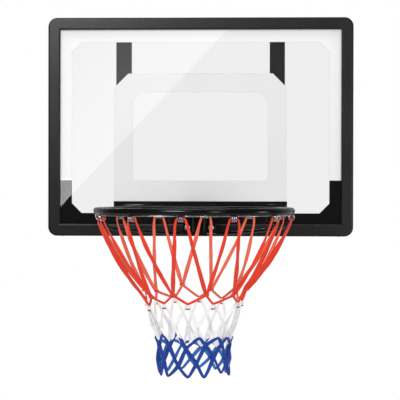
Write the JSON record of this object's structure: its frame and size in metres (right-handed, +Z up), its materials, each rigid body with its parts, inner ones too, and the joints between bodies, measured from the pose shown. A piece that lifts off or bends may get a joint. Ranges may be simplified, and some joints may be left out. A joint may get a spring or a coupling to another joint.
{
  "type": "basketball backboard",
  "caption": "Wall backboard with a clear framed panel, printed target, sprung breakaway rim, brace rods, wire net hooks and a three-colour cord net.",
  "frame": {"origin": "midway between the four keyholes, on the wall plane of the two struts' back faces", "axes": "+X to the right as seen from the front, +Y into the wall, so the front faces -Y, and +Z up"},
  "size_m": [0.8124, 0.6462, 0.9016],
  "materials": {
    "frame_paint": "satin black powder coat",
    "black_paint": "matt black powder coat",
    "rim_paint": "gloss black powder coat",
    "zinc_steel": "bright zinc plate",
    "hook_zinc": "dull zinc plate",
    "spring_steel": "black oxide spring wire",
    "aluminium_rivet": "plain",
    "clear_panel": "clear polycarbonate",
    "foam_tape": "black closed-cell foam",
    "black_rubber": "matt",
    "white_ink": "opaque screen print",
    "black_ink": "opaque screen print",
    "red_cord": "braided polyester",
    "white_cord": "braided polyester",
    "blue_cord": "braided polyester"
  },
  "bodies": {
    "board": {"frame_rail_top": "frame_paint", "frame_rail_bottom": "frame_paint", "frame_rail_left": "frame_paint", "frame_rail_right": "frame_paint", "corner_brackets": "zinc_steel", "corner_rivets": "aluminium_rivet", "clear_panel": "clear_panel", "panel_tape": "foam_tape", "white_border_print": "white_ink", "black_border_print": "black_ink", "target_print": "white_ink", "strut_left": "black_paint", "strut_right": "black_paint", "strut_plugs": "zinc_steel", "strut_screws": "zinc_steel", "rim_channel": "black_paint", "channel_bolts": "zinc_steel", "rim_pad": "black_rubber", "rim_base": "rim_paint", "base_bolts": "zinc_steel", "spring_bolts": "zinc_steel", "spring_washers": "zinc_steel", "rim_back_washers": "zinc_steel", "rim_nuts": "zinc_steel", "rim_springs": "spring_steel", "pivot_pin": "zinc_steel", "pivot_clips": "zinc_steel"},
    "rim": {"ring": "rim_paint", "carrier_plate": "rim_paint", "neck_plate": "rim_paint", "carrier_gussets": "rim_paint", "pivot_sleeve": "rim_paint", "brace_left": "rim_paint", "brace_right": "rim_paint", "hook_wire": "hook_zinc", "net_red": "red_cord", "net_white": "white_cord", "net_blue": "blue_cord"}
  },
  "joints": [
    {"name": "rim_breakaway", "type": "hinge", "parent": "board", "child": "rim", "pos_m": [0, -0.0927, -0.228], "axis": [1, 0, 0], "range_deg": [0, 12], "stiffness_Nm_per_rad": 280, "springref_deg": -14.32, "deforming": ["rim_springs"]}
  ]
}
